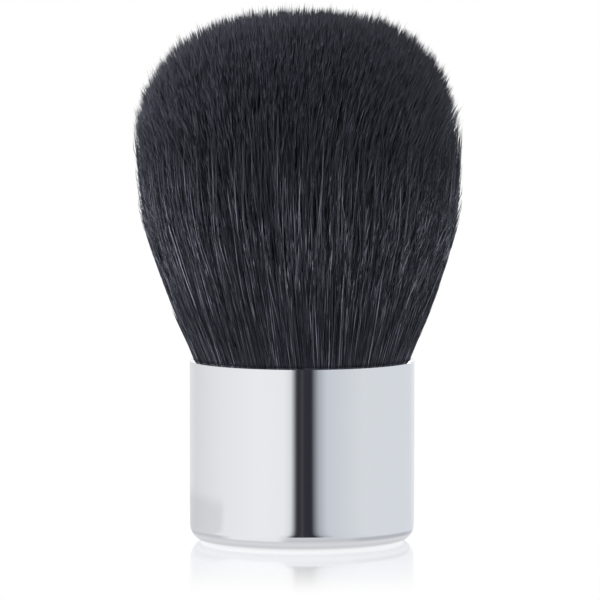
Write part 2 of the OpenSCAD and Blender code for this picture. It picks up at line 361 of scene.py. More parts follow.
def turned_finish():
    """Turned steel: fine rings round the axis, with a thin film of oil."""
    tree = new_finish("turned_steel")
    place = tree.place()
    x, y, z = tree.axes(place)
    radius = (x * x + y * y) ** 0.5
    rings = tree.noise(tree.join(radius, z), 0.09 * MM, detail=2)
    oil = tree.noise(place, 5 * MM)
    return tree.surface(
        base_color=tree.mix(oil, (0.42, 0.43, 0.44), (0.56, 0.56, 0.55)),
        metallic=1.0,
        roughness=0.22 + 0.25 * rings,
        normal=tree.bump(rings, 0.004 * MM),
    )


def glue_finish():
    """Set hot-melt glue: milky amber with a few small bubbles."""
    tree = new_finish("set_glue")
    place = tree.place()
    cloud = tree.noise(place, 2.5 * MM)
    bubbles = tree.add("ShaderNodeTexVoronoi", sockets={"Vector": place, "Scale": 1 / (0.9 * MM)})
    bubble = 1 - bubbles.between(0.10, 0.22)
    milky = tree.mix(cloud, (0.62, 0.50, 0.30), (0.74, 0.66, 0.48))
    return tree.surface(
        base_color=tree.mix(bubble * 0.5, milky, (0.85, 0.80, 0.68)),
        roughness=0.30 + 0.15 * cloud,
        normal=tree.bump(cloud, 0.03 * MM),
    )


def ferrule_finish():
    """Drawn aluminium, with fine marks along the pull."""
    tree = new_finish("drawn_aluminium")
    place = tree.place()
    marks = tree.noise(tree.scaled(place, (1, 1, 0.04)), 0.14 * MM)
    return tree.surface(
        base_color=tree.mix(marks, (0.72, 0.73, 0.74), (0.84, 0.84, 0.85)),
        metallic=1.0,
        roughness=0.25 + 0.2 * marks,
        normal=tree.bump(marks, 0.003 * MM),
    )


def resin_finish():
    """Cast resin, clear amber and darker where hairs run into it."""
    tree = new_finish("cast_resin")
    place = tree.place()
    cloud = tree.noise(place, 3 * MM)
    roots = tree.noise(tree.scaled(place, (1, 1, 0.1)), 0.25 * MM)
    amber = tree.mix(cloud, (0.34, 0.16, 0.035), (0.48, 0.27, 0.08))
    return tree.surface(
        base_color=tree.mix(roots.between(0.45, 0.7) * 0.6, amber, (0.05, 0.03, 0.02)),
        roughness=0.12 + 0.1 * cloud,
        normal=tree.bump(cloud, 0.02 * MM),
    )


def cotton_finish(thread):
    """Cotton plies, with fibres that wind round each ply."""
    tree = new_finish("bound_cotton")
    place = tree.place()
    fibres = tree.noise(place, 0.05 * MM, detail=4)
    stain = tree.noise(place, 2 * MM)
    pale = tuple(thread.cotton)
    brown = tuple(0.7 * part for part in pale)
    return tree.surface(
        base_color=tree.mix(stain * 0.6 + fibres * 0.3, pale, brown),
        roughness=0.75 + 0.2 * fibres,
        normal=tree.bump(fibres, 0.02 * MM),
    )


def hair_finish(hair):
    """Dyed hair. The map's columns are hairs of different tones, and its height is the height in the head.

    Most hairs are dark and a few light; the light tones and their patches along each hair are partly painted
    highlights. They are darker in painted shade at the lip, and light ones fade towards the tips.
    """
    tree = new_finish("dyed_hair")
    across, height, _ = tree.axes(tree.add("ShaderNodeUVMap", {"uv_map": HAIR_MAP}))
    column = (across * TONES).maths("FLOOR", across * TONES)
    own = (column + 0.5) / TONES
    streak_and_sheen = tree.noise(tree.join(column * 7.3, height * 9), 1.0, detail=3)
    cast = tree.add("ShaderNodeTexWhiteNoise", {"noise_dimensions": "1D"}, {"W": column})
    # Painted shade: hairs are darker at and below the lip's height, where the lip shades them
    in_lip = 0.25 + 0.75 * height.between(0.134, 0.143)
    low = 0.50 + 0.50 * height.between(0.14, 0.46)
    high = 1 - 0.80 * height.between(0.36, 0.72)
    # Partly painted highlights: patches along each hair lighten its tone as lamp sheen would, and also vary it at
    # random
    patches_and_sheen = 0.24 + 0.76 * streak_and_sheen.between(0.36, 0.60)
    tone = in_lip * (own**5.5 * low * high + 0.035 * streak_and_sheen) * patches_and_sheen
    return tree.surface(
        base_color=tree.mix(tone, tuple(hair.dark), tree.mix(cast, tuple(hair.light), tuple(hair.blue))),
        roughness=0.36 + 0.24 * streak_and_sheen,
        specular_ior_level=0.34,
        specular_tint=(0.88, 0.89, 1.0),
    )


def packed_hair_finish():
    """The middle of the head, where hairs lie too close to be told apart."""
    tree = new_finish("packed_hair")
    place = tree.place()
    strands = tree.noise(tree.scaled(place, (1, 1, 0.03)), 0.15 * MM)
    return tree.surface(
        base_color=tree.mix(strands, (0.003, 0.003, 0.004), (0.012, 0.012, 0.016)),
        roughness=0.55 + 0.2 * strands,
        normal=tree.bump(strands, 0.05 * MM),
    )


# Modelling


def deselect():
    for piece in bpy.context.selected_objects:
        piece.select_set(False)


def edit(piece):
    """Opens edit mode on a piece, with all of it selected."""
    bpy.context.view_layer.objects.active = piece
    bpy.ops.object.mode_set(mode="EDIT")
    bpy.ops.mesh.select_all(action="SELECT")


def leave_edit():
    bpy.ops.object.mode_set(mode="OBJECT")


def dress(piece, name, material, node):
    """Names a finished piece, gives it its material and hangs it on the part in place of a node."""
    piece.name = piece.data.name = name
    piece.data.materials.clear()
    piece.data.materials.append(material)
    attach(piece, BODY)
    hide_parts(node)


def coat(node, material):
    """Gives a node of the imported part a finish."""
    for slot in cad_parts[node].material_slots:
        slot.material = material


def arc(middle, radius, start, end, steps):
    """Points of (radius, height) along an arc, with angles in degrees from straight outwards."""
    angles = np.radians(np.linspace(start, end, steps + 1))
    return [(middle[0] + radius * math.cos(a), middle[1] + radius * math.sin(a)) for a in angles]


def lathe(outline, steps):
    """Turns an outline of (radius, height) points once round the Z axis."""
    deselect()
    bpy.ops.mesh.primitive_plane_add(size=MM)
    piece = bpy.context.object
    edit(piece)
    bpy.ops.mesh.merge(type="CENTER")
    bpy.ops.mesh.select_all(action="SELECT")
    bpy.ops.transform.translate(value=(outline[0][0], 0, outline[0][1]))
    for (r, z), (next_r, next_z) in zip(outline, outline[1:]):
        bpy.ops.mesh.extrude_vertices_move(TRANSFORM_OT_translate={"value": (next_r - r, 0, next_z - z)})
    bpy.ops.mesh.select_all(action="SELECT")
    bpy.ops.mesh.spin(steps=steps, angle=2 * math.pi, center=(0, 0, 0), axis=(0, 0, 1))
    bpy.ops.mesh.select_all(action="SELECT")
    bpy.ops.mesh.remove_doubles(threshold=0.0005 * MM)
    bpy.ops.mesh.normals_make_consistent(inside=False)
    leave_edit()
    return piece


# Hair
#
# A hair keeps its share of the bundle's radius from the root to its tip, so all hairs spread alike.
# Its line is a row of points, and a three-sided strand is copied along it.

# Columns of the map, which run from the darkest hairs to the lightest, and the heights that it covers
TONES = 128
MAP_LOW, MAP_HIGH = 18 * MM, 78 * MM

# Shares of a hair's length at which its line has points
FULL_HAIR = (0, 0.13, 0.22, 0.32, 0.44, 0.58, 0.74, 0.87, 0.955, 1)
SHORT_HAIR = (0, 0.35, 0.65, 0.85, 1)
SIDE_HAIR = (0, 0.2, 0.4, 0.6, 0.8, 0.93, 1)

# Height above the lip at which hairs begin to flare, and at which they are free of its hold
LIP_EASE = 0.3 * MM
FREE_LOW, FREE_HIGH = 0.5 * MM, 26 * MM
# Lengths of hair over which tips turn outwards, a hair drifts aside and the head bows
SPLAY_LENGTH = 5 * MM
DRIFT_LENGTH = 30 * MM
BOW_LENGTH = 46 * MM
# A hair's drift from the line of its tuft, and the most that it can be
DRIFT, MOST_DRIFT = 0.5 * MM, 3.5 * MM
# Lengths of a hair's waves in millimetres, their size, and the share of it that goes inwards
WAVE_LENGTHS = (16, 40)
WAVE_SIZE = 0.085 * MM
WAVE_INWARDS = 0.12
# How far a hair may stand out of the cut, and how far the end of a side hair may
PROUD = 0.45 * MM
PROUD_END = 0.4 * MM
# Height at which full hairs start, and the length of the tips that make the dome
HAIR_START = 18 * MM
TIP_LENGTH = 12 * MM
# Share of the radius outside which hairs are full, and at which they are the edge of the head
OUTER, EDGE = 0.80, 0.96


def smooth(x, low, high):
    t = np.clip((x - low) / (high - low), 0, 1)
    return t * t * (3 - 2 * t)


class Head:
    """The flow of the hair: where a hair with a share of the radius lies at a height, and where it is cut."""

    def __init__(self, hair):
        self.hair = hair
        self.lip = cup_high.z
        self.top = hair_high.z - 0.2 * MM

    def radius(self, z):
        """Radius to which the outermost hairs spread."""
        h = self.hair
        climb = (z - h.parting) / (self.lip - h.held - h.parting)
        below = h.root_radius + (h.lip_radius - h.root_radius) * np.clip(climb, 0, 1)
        rise = np.maximum(z - self.lip - LIP_EASE, 0)
        bent = (h.flare - h.far_flare) * h.bend * (1 - np.exp(-rise / h.bend))
        above = h.lip_radius + h.far_flare * rise + bent
        return np.where(z < self.lip, below, above)

    def cut(self, z):
        """Radius of the shape to which the head is cut."""
        h = self.hair
        rise = np.clip((z - h.widest) / (self.top - h.widest), 0, 1)
        return h.head_radius * (1 - rise**2) ** (1 / h.dome) - h.draw_in * np.maximum(h.widest - z, 0)

    def surface(self, z):
        """Radius of the outside of the head, where the spread runs smoothly into the cut."""
        soft = 0.4 * MM
        return -soft * np.logaddexp(-self.radius(z) / soft, -self.cut(z) / soft)

    def tips(self, share):
        """Height at which a hair with a share of the radius meets the cut."""
        z = np.linspace(self.lip + 8 * MM, self.top, 400)
        met = self.cut(z) / (self.radius(z) + self.hair.splay * SPLAY_LENGTH / 2)
        return np.interp(share, met[::-1], z[::-1])

    def lean(self, z):
        """How far the head leans sideways at a height: less again near its top."""
        return -self.hair.lean * (smooth(z, 31 * MM, 58 * MM) - 0.6 * smooth(z, 60 * MM, 72 * MM))

    def sway(self, roots, z):
        """How far hairs bow sideways: most in front and behind, and not at the two sides."""
        bow = np.sin(math.pi * np.clip((z - self.lip) / BOW_LENGTH, 0, 1.15))
        return -self.hair.sway * (1 - roots[:, :1] ** 2) * bow


def disc_points(count, rng, jitter):
    """Points spread evenly over a unit disc, each moved a little, as rows of x and y."""
    n = np.arange(count)
    r = np.sqrt((n + 0.5) / count)
    a = n * math.pi * (3 - math.sqrt(5))
    step = jitter / math.sqrt(count)
    points = np.stack([r * np.cos(a), r * np.sin(a)], 1) + rng.normal(0, step, (count, 2))
    size = np.linalg.norm(points, axis=1, keepdims=True)
    return points * np.where(size > 1, (2 - size) / np.maximum(size, 1e-9), 1)


def nearest(points, middles):
    """For each point, the number of the nearest middle."""
    tree = KDTree(len(middles))
    for i, (x, y) in enumerate(middles):
        tree.insert((x, y, 0), i)
    tree.balance()
    return np.array([tree.find((x, y, 0))[1] for x, y in points])


def hair_lines(head, roots, start, tips, shares, locks, rng, loose=1.0, splay=1.0, outside=False):
    """Rows of points for hairs that leave the disc at roots, from the start heights to the tip heights.

    Each hair is drawn to its tuft's middle, drifts a little to one side, waves, and turns outwards at its tip. Of a
    hair that comes up through the lip, one point lies in the lip.
    """
    z = start[:, None] + (tips - start)[:, None] * np.array(shares)
    in_lip = np.abs(z - head.lip).argmin(1)
    through = np.flatnonzero(start < head.lip)
    z[through, in_lip[through]] = head.lip
    free = smooth(z, head.lip + FREE_LOW, head.lip + FREE_HIGH)
    to_tip = tips[:, None] - z
    pull = locks["side"][:, None] * free
    pull = pull + (locks["tip"][:, None] - pull) * smooth(-to_tip, -SPLAY_LENGTH, 0)
    flat = roots[:, None, :] + (locks["middle"] - roots)[:, None, :] * pull[:, :, None]
    line = (head.surface(z) if outside else head.radius(z))[:, :, None] * flat
    share = np.linalg.norm(roots, axis=1)
    out = roots / np.maximum(share, 1e-6)[:, None]
    aside = np.stack([-out[:, 1], out[:, 0]], 1)
    count = len(roots)
    drift = np.clip(rng.standard_t(3, count) * DRIFT, -MOST_DRIFT, MOST_DRIFT) * loose + locks["drift"]
    height = np.clip((z - head.lip) / DRIFT_LENGTH, 0, 2)
    long_wave = rng.uniform(*WAVE_LENGTHS, count) * MM
    phase = rng.uniform(0, 2 * math.pi, (2, count))
    size = rng.gamma(2, WAVE_SIZE, (2, count)) * loose
    turn = 2 * math.pi * z / long_wave[:, None]
    sideways = drift[:, None] * height + size[0][:, None] * np.sin(turn + phase[0][:, None]) * free
    inwards = locks["depth"][:, None] + size[1][:, None] * WAVE_INWARDS * (1 - np.sin(turn * 1.3 + phase[1][:, None]))
    late = np.clip(1 - to_tip / SPLAY_LENGTH, 0, 1) ** 2 * SPLAY_LENGTH / 2
    outwards = share[:, None] * head.hair.splay * splay * late - inwards * free
    line = line + aside[:, None, :] * sideways[:, :, None] + out[:, None, :] * outwards[:, :, None]
    line[:, :, 0] += head.sway(roots, z)
    reach = np.linalg.norm(line, axis=2)
    most = np.minimum(head.radius(z), head.cut(np.minimum(z, head.hair.widest))) + PROUD * free
    line *= np.minimum(1, most / np.maximum(reach, 1e-9))[:, :, None]
    line[:, :, 0] += head.lean(z)
    return np.concatenate([line, z[:, :, None]], 2)


def strand_model(shares):
    """An upright three-sided strand one unit long, with a round at each share and a point on top."""
    deselect()
    bpy.ops.mesh.primitive_cylinder_add(vertices=3, radius=1, depth=1, location=(0, 0, 0.5))
    strand = bpy.context.object
    bpy.ops.object.transform_apply(location=True, rotation=True, scale=True)
    edit(strand)
    for share in shares[1:-1]:
        bpy.ops.mesh.select_all(action="SELECT")
        bpy.ops.mesh.bisect(plane_co=(0, 0, share), plane_no=(0, 0, 1))
    bpy.ops.mesh.select_all(action="DESELECT")
    leave_edit()
    for vertex in strand.data.vertices:
        vertex.select = vertex.co.z > 1 - 1e-6
    bpy.context.view_layer.objects.active = strand
    bpy.ops.object.mode_set(mode="EDIT")
    bpy.ops.mesh.merge(type="CENTER")
    leave_edit()
    return strand


def read_strand(strand, shares):
    """The strand's faces, and for each vertex its round, its side of the map and its place across."""
    mesh = strand.data
    places = np.array([v.co for v in mesh.vertices])
    faces = [list(face.vertices) for face in mesh.polygons]
    bpy.data.objects.remove(strand)
    rounds = np.abs(places[:, 2:3] - np.array(shares)).argmin(1)
    angle = np.arctan2(places[:, 1], places[:, 0])
    across = np.hypot(places[:, 0], places[:, 1])
    side = np.round((angle + math.pi) / (2 * math.pi / 3)) % 3 / 2
    return faces, rounds, angle, across, np.where(across > 0.5, side, 0.5)


def taper(shares, root, tip_start):
    """How thick a strand is at each share of its length: thinner at the root and drawn to a point."""
    s = np.array(shares)
    return (root + (1 - root) * smooth(s, 0, 0.3)) * (1 - 0.8 * np.clip((s - tip_start) / (1.02 - tip_start), 0, 1))


def copy_strands(name, strand, shares, lines, widths, tones, rng, root=0.7, tip_start=0.75):
    """Copies the strand model along each line, and joins the copies in one mesh with its map of tones."""
    faces, rounds, angle, across, side = strand
    count, points = len(lines), len(rounds)
    along = np.gradient(lines, axis=1)
    along /= np.maximum(np.linalg.norm(along, axis=2, keepdims=True), 1e-12)
    out = lines * (1, 1, 0)
    out = out - (out * along).sum(2, keepdims=True) * along
    out /= np.maximum(np.linalg.norm(out, axis=2, keepdims=True), 1e-12)
    beside = np.cross(along, out)
    turned = angle + rng.uniform(0, 2 * math.pi, (count, 1))
    half = widths[:, None] / 2 * taper(shares, root, tip_start)[rounds] * across
    places = (
        lines[:, rounds]
        + (half * np.cos(turned))[:, :, None] * out[:, rounds]
        + (half * np.sin(turned))[:, :, None] * beside[:, rounds]
    )
    corners = np.concatenate(faces)
    sizes = np.array([len(face) for face in faces])
    starts = np.concatenate([[0], np.cumsum(sizes)[:-1]])
    all_corners = (corners + np.arange(count)[:, None] * points).ravel()
    all_starts = (starts + np.arange(count)[:, None] * len(corners)).ravel()
    mesh = bpy.data.meshes.new(name)
    mesh.vertices.add(count * points)
    mesh.vertices.foreach_set("co", places.astype(np.float32).ravel())
    mesh.loops.add(len(all_corners))
    mesh.loops.foreach_set("vertex_index", all_corners.astype(np.int32))
    mesh.polygons.add(len(all_starts))
    mesh.polygons.foreach_set("loop_start", all_starts.astype(np.int32))
    mesh.update(calc_edges=True)
    tone_map = mesh.uv_layers.new(name=HAIR_MAP)
    u = (tones[:, None] + 0.2 + 0.6 * side[corners]) / TONES
    v = np.clip((places[:, corners, 2] - MAP_LOW) / (MAP_HIGH - MAP_LOW), 0, 1)
    tone_map.uv.foreach_set("vector", np.stack([u, v], 2).astype(np.float32).ravel())
    mesh.shade_smooth()
    mesh.validate()
    piece = bpy.data.objects.new(name, mesh)
    bpy.context.scene.collection.objects.link(piece)
    return piece


def lock_values(head, roots, rng):
    """How each hair is held in its tuft: the tuft's middle, the pulls towards it and the tuft's drift."""
    hair = head.hair
    count = int((hair.head_radius / hair.tuft) ** 2 * math.pi)
    middles = disc_points(count, rng, 0.9)
    own = nearest(roots, middles)
    wide_middles = disc_points(count // 9, rng, 0.9)
    wide = nearest(middles, wide_middles)
    drift = rng.normal(0, 0.35 * MM, len(wide_middles))[wide] + rng.normal(0, 0.25 * MM, count)
    return {
        "middle": middles[own],
        "side": rng.uniform(0.0, 0.45, count)[own],
        "tip": rng.uniform(0.2, 0.7, count)[own],
        "drift": drift[own],
        "height": rng.normal(0, 0.36 * MM, count)[own],
        "depth": rng.exponential(0.15 * MM, count)[own],
        "tone": rng.integers(0, TONES, count)[own],
    }


def some(values, chosen):
    return {name: value[chosen] for name, value in values.items()}


def hair_tones(locks, most, rng):
    """Column of the map for each hair, up to a share of the lightest: mostly its own, for some its tuft's."""
    own = rng.integers(0, TONES, len(locks["tone"]))
    return (np.where(rng.random(len(own)) < 0.15, locks["tone"], own) * most).astype(int)


# Operators

# Radius of the edge at the top of the lip's slope
LIP_EDGE = 0.04 * MM


class BRUSH_OT_cup(bpy.types.Operator):
    """Turn the chromed cup: straight wall, rounded foot corner, pressed panel and sloped lip"""

    bl_idname = "brush.cup"
    bl_label = "Cup"

    def execute(self, context):
        cup = context.scene.brush_cup
        r, h = cup_high.x, cup_high.z
        ring_in = r - cup.corner - cup.foot_ring
        lip, edge = cup.lip, LIP_EDGE
        inner = cup.corner - cup.wall
        outline = [(0, cup.panel), (ring_in - cup.panel, cup.panel), (ring_in, 0)]
        outline += arc((r - cup.corner, cup.corner), cup.corner, -90, 0, 32)
        outline += [(r, cup.corner + lip), (r, h / 2), (r, h - lip)]
        outline += arc((r - cup.wall + edge, h - edge), edge, 60, 180, 6)
        outline += [(r - cup.wall, h - lip), (r - cup.wall, cup.corner + lip)]
        outline += arc((r - cup.corner, cup.corner), inner, 0, -90, 12)
        outline += [(ring_in, cup.wall), (ring_in - cup.panel, cup.wall + cup.panel), (0, cup.wall + cup.panel)]
        piece = lathe(outline, cup.steps)
        deselect()
        piece.select_set(True)
        bpy.ops.object.shade_smooth_by_angle(angle=math.radians(28))
        dress(piece, "chrome_cup", chrome_finish(cup), "handle_cup")
        return {"FINISHED"}


class BRUSH_OT_inner(bpy.types.Operator):
    """Finish the pieces that the cup hides: core, weight, glue, ferrule and resin"""

    bl_idname = "brush.inner"
    bl_label = "Inner pieces"

    def execute(self, context):
        coat("core_sleeve", moulded_finish())
        coat("base_weight", turned_finish())
        glue = glue_finish()
        coat("weight_pad", glue)
        coat("bond_ring", glue)
        coat("ferrule", ferrule_finish())
        coat("root_resin", resin_finish())
        return {"FINISHED"}


class BRUSH_OT_thread(bpy.types.Operator):
    """Wind the binding thread: three cotton plies twisted together along the coil"""

    bl_idname = "brush.thread"
    bl_label = "Binding thread"

    def execute(self, context):
        thread = context.scene.brush_thread
        ply_r = thread.diameter / (2 + 4 / math.sqrt(3))
        ply_out = 2 * ply_r / math.sqrt(3)
        coil_r = thread_high.x - thread.diameter / 2
        pitch = thread.diameter + thread.gap
        bottom = (thread_low.z + thread_high.z - thread.turns * pitch) / 2
        twists = 2 * math.pi * coil_r * thread.turns / thread.lay
        steps = int(twists * 8)
        turn = np.linspace(0, 1, steps)
        around = 2 * math.pi * thread.turns * turn
        out = np.stack([np.cos(around), np.sin(around), 0 * turn], 1)
        coil = coil_r * out
        coil[:, 2] = bottom + pitch * thread.turns * turn
        curve = bpy.data.curves.new("binding_thread_plies", "CURVE")
        curve.dimensions = "3D"
        curve.bevel_depth = ply_r
        curve.bevel_resolution = 1
        curve.use_fill_caps = True
        for ply in range(3):
            twist = 2 * math.pi * (twists * turn + ply / 3)
            line = coil + ply_out * np.cos(twist)[:, None] * out
            line[:, 2] += ply_out * np.sin(twist)
            spline = curve.splines.new("POLY")
            spline.points.add(steps - 1)
            spline.points.foreach_set("co", np.c_[line, np.ones(steps)].astype(np.float32).ravel())
        piece = bpy.data.objects.new("binding_thread_plies", curve)
        bpy.context.scene.collection.objects.link(piece)
        deselect()
        piece.select_set(True)
        bpy.context.view_layer.objects.active = piece
        bpy.ops.object.convert(target="MESH")
        piece = bpy.context.object
        piece.data.shade_smooth()
        dress(piece, "binding_thread_plies", cotton_finish(thread), "binding_thread")
        return {"FINISHED"}


class BRUSH_OT_hair_heart(bpy.types.Operator):
    """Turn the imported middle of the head, with its root slug, which the hairs cover"""

    bl_idname = "brush.hair_heart"
    bl_label = "Packed hair"

    def execute(self, context):
        hair = context.scene.brush_hair
        head = Head(hair)
        inside, depth = OUTER, 8 * MM
        outline = [(0, hair_low.z), (hair.root_radius, hair_low.z), (hair.root_radius, hair.parting)]
        for z in np.linspace(hair.parting + 3 * MM, hair.widest - depth, 14):
            outline.append((inside * float(min(head.radius(z), head.cut(z + depth))), z))
        for turn in np.linspace(0, math.pi / 2, 14)[1:]:
            z = hair.widest + (head.top - hair.widest) * math.sin(turn)
            outline.append((inside * float(head.cut(z)), z - depth))
        piece = lathe(outline, 96)
        piece.data.shade_smooth()
        dress(piece, "hair_heart", packed_hair_finish(), "hair_bundle")
        return {"FINISHED"}


class BRUSH_OT_hair(bpy.types.Operator):
    """Grow the head: full hairs outside, the tips of the inner hairs, short side hairs and strays"""

    bl_idname = "brush.hair"
    bl_label = "Hair"

    def execute(self, context):
        hair = context.scene.brush_hair
        head = Head(hair)
        rng = np.random.default_rng(hair.seed)
        self.material = hair_finish(hair)
        self.models = {s: read_strand(strand_model(s), s) for s in (FULL_HAIR, SHORT_HAIR, SIDE_HAIR)}
        roots = disc_points(hair.count, rng, 0.28)
        locks = lock_values(head, roots, rng)
        size = np.linalg.norm(roots, axis=1)
        edge = smooth(size, OUTER, EDGE)
        tips = head.tips(size)
        # Some hairs are shorter, more so at the edge, but none by more than its room
        short = rng.exponential(1, hair.count) * (0.4 + 5.0 * edge) * MM
        room = 9 * MM + np.maximum(tips - 45 * MM, 0)
        tips = tips + 1.7 * MM * edge - short * room / (short + room)
        tips = tips + locks["height"] * (1 + edge) + rng.normal(0, 1, hair.count) * (0.3 + 2.2 * edge) * MM
        outer = size > OUTER
        turn = np.arctan2(roots[:, 1], roots[:, 0]) / (2 * math.pi) + 0.5
        self.grow_group(head, "hair_side", FULL_HAIR, roots, locks, tips, outer, turn, 6, rng)
        self.grow_group(head, "hair_dome", SHORT_HAIR, roots, locks, tips, ~outer, turn, 4, rng)
        self.grow_side_hairs(head, rng)
        return {"FINISHED"}

    def grow_group(self, head, name, shares, roots, locks, tips, chosen, turn, sectors, rng):
        """One piece for each sector of the head, of the hairs that are chosen."""
        full = shares is FULL_HAIR
        for sector in range(sectors):
            mine = chosen & (np.minimum(turn * sectors, sectors - 1e-9).astype(int) == sector)
            held = some(locks, mine)
            start = np.full(mine.sum(), HAIR_START) if full else tips[mine] - TIP_LENGTH
            lines = hair_lines(head, roots[mine], start, tips[mine], shares, held, rng)
            tip_start, most, width = (0.93, 1.0, head.hair.width) if full else (0.88, 0.48, 0.95 * head.hair.width)
            self.grow(f"{name}_{sector + 1}", shares, lines, hair_tones(held, most, rng), width, rng, tip_start)

    def grow(self, name, shares, lines, tones, width, rng, tip_start=0.8):
        widths = width * rng.lognormal(0, 0.22, len(lines))
        piece = copy_strands(name, self.models[shares], shares, lines, widths, tones, rng, tip_start=tip_start)
        dress(piece, name, self.material, "hair_bundle")

    def grow_side_hairs(self, head, rng):
        """Long light hairs over the side, short ones whose ends stand a little proud of it, strays and a small tuft."""
        self.grow_over(head, "hair_over", 1000, (40, 60), (14, 34), 1.4, 0.05, (24, TONES), rng, outside=True)
        self.grow_over(head, "hair_wisps", 3800, (30, 71), (9, 22), 1.3, 0.22, (0, TONES - 10), rng)
        self.grow_over(head, "hair_strays", 60, (36, 62), (6, 14), 3.5, 0.05, (TONES - 14, TONES), rng)
        self.grow_over(head, "hair_tuft", 26, (46, 50.5), (7, 12), 1.0, 0.5, (0, TONES), rng, turns=(-0.03, 0.03))

    def grow_over(
        self, head, name, count, tips, lengths, loose, proud, tones, rng, turns=(0, 2 * math.pi), outside=False
    ):
        """Hairs on the outside. Tips and lengths are ranges in millimetres, and tones a range of columns.

        A loose hair drifts and waves more, and a proud one ends further out.
        """
        turn = rng.uniform(*turns, count)
        out = np.stack([np.cos(turn), np.sin(turn)], 1)
        tips = (tips[0] + (tips[1] - tips[0]) * rng.random(count) ** (0.5 if outside else 1)) * MM
        start = np.maximum(tips - rng.uniform(*lengths, count) * MM, 20 * MM)
        share = 1 if outside else np.minimum(head.cut(tips) / head.radius(tips), 1)
        share = share * rng.uniform(*((0.985, 1.004) if outside else (0.965, 0.995)), count)
        roots = share[:, None] * out
        held = lock_values(head, roots, rng)
        held["tip"] = held["side"]
        held["depth"] = 0 * held["depth"]
        lines = hair_lines(head, roots, start, tips, SIDE_HAIR, held, rng, loose, 0.1, outside)
        ends = np.minimum(rng.gamma(1.5, proud * MM, count), PROUD_END)[:, None] * np.array(SIDE_HAIR) ** 2
        lines[:, :, :2] += out[:, None, :] * ends[:, :, None]
        self.grow(name, SIDE_HAIR, lines, rng.integers(*tones, count), 0.9 * head.hair.width, rng)


class BRUSH_OT_studio(bpy.types.Operator):
    """Set the studio: pale floor, soft lamps and the camera"""

    bl_idname = "brush.studio"
    bl_label = "Studio"

    def execute(self, context):
        studio = context.scene.brush_studio
        self.set_camera(context, studio)
        self.set_lamps(studio)
        self.set_floor()
        self.set_world(context, studio)
        context.scene.view_settings.view_transform = "Standard"
        return {"FINISHED"}

    def set_camera(self, context, studio):
        aim = Vector((studio.aim_x, 0, studio.aim_z))
        back = Vector((0, -math.cos(studio.pitch), math.sin(studio.pitch)))
        bpy.ops.object.camera_add(location=aim + studio.distance * back)
        camera = context.object
        camera.name = "camera"
        camera.rotation_euler = (-back).to_track_quat("-Z", "Y").to_euler()
        camera.data.lens = studio.lens
        camera.data.clip_start = 0.05
        camera.data.clip_end = 20
        context.scene.camera = camera

    def set_lamps(self, studio):
        aim = Vector((0, 0, 45 * MM))
        lamps = (
            ("key_lamp", (-1.05, -0.75, 0.55), studio.key, (0.86, 0.88, 1.0)),
            ("rim_lamp", (-1.15, 0.35, 0.55), studio.rim, (0.83, 0.86, 1.0)),
            ("fill_lamp", (0.95, -0.80, 0.50), studio.fill, (0.87, 0.89, 1.0)),
            ("back_lamp", (0.35, 1.15, 0.55), studio.back, (0.88, 0.92, 1.0)),
            ("top_lamp", (0.0, -0.25, 1.2), studio.top, (1.0, 1.0, 1.0)),
        )
        for name, place, power, colour in lamps:
            bpy.ops.object.light_add(type="AREA", location=place)
            lamp = bpy.context.object
            lamp.name = name
            lamp.rotation_euler = (aim - Vector(place)).to_track_quat("-Z", "Y").to_euler()
            lamp.data.shape = "RECTANGLE"
            lamp.data.size = 0.7
            lamp.data.size_y = 0.4
            lamp.data.energy = power
            lamp.data.color = colour

    def set_floor(self):
        deselect()
        bpy.ops.mesh.primitive_plane_add(size=6, location=(0, 0, -0.02 * MM))
        floor = bpy.context.object
        floor.name = "floor"
        bpy.ops.object.transform_apply(location=True, rotation=True, scale=True)
        floor.data.materials.append(floor_finish())

    def set_world(self, context, studio):
        """White to the camera and in the floor, a painted reflection of studio tones in polished metal, and a softer
        light on the brush.
        """
        world = bpy.data.worlds.new("studio_light")
        context.scene.world = world
        tree = Tree(world, "ShaderNodeOutputWorld")
        x, y, z = tree.axes(tree.place())
        turn = x.maths("ARCTAN2", x, y * -1) / (2 * math.pi) + 0.5
        rays = tree.add("ShaderNodeLightPath", output=("Is Camera Ray", "Is Glossy Ray", "Glossy Depth"))
        camera, glossy, bounces = rays
        sky = tree.mix(z.between(0.0, 0.8), (0.97, 0.98, 1), (0.17, 0.17, 0.18))
        lit = tree.add("ShaderNodeBackground", sockets={"Color": sky, "Strength": studio.daylight})
        # Painted reflection: studio tones that only polished metal sees, past its first bounce
        painted_reflection = tree.add("ShaderNodeBackground", sockets={"Color": tree.ramp(turn, PAINTED_STUDIO_TONES)})
        white = tree.add("ShaderNodeBackground", sockets={"Color": (1, 1, 1, 1)})
        polished = tree.either(bounces > 1.5, white, painted_reflection)
        tree.finish(tree.either(camera, tree.either(glossy, lit, polished), white))


# Painted reflection: the tones that polished metal sees round it, from behind over the left and the front to
# the right and back: painted light boards, with a dark gap in front and another behind.
PAINTED_STUDIO_TONES = [
    (0.0, (0.05, 0.05, 0.06)),
    (0.022, (0.80, 0.81, 0.82)),
    (0.11, (0.73, 0.735, 0.75)),
    (0.25, (0.84, 0.85, 0.86)),
    (0.38, (0.90, 0.91, 0.92)),
    (0.45, (0.88, 0.89, 0.90)),
    (0.468, (0.76, 0.77, 0.79)),
    (0.483, (0.075, 0.075, 0.085)),
    (0.488, (0.034, 0.034, 0.042)),
    (0.4945, (0.034, 0.034, 0.042)),
    (0.5005, (0.062, 0.060, 0.068)),
    (0.506, (0.032, 0.032, 0.042)),
    (0.5265, (0.028, 0.028, 0.038)),
    (0.535, (0.19, 0.20, 0.22)),
    (0.547, (0.42, 0.45, 0.49)),
    (0.57, (0.62, 0.65, 0.69)),
    (0.68, (0.73, 0.76, 0.79)),
    (0.90, (0.72, 0.75, 0.79)),
    (0.975, (0.84, 0.85, 0.87)),
    (1.0, (0.05, 0.05, 0.06)),
]
# Place of the painted dark gap in front
GAP = 0.504
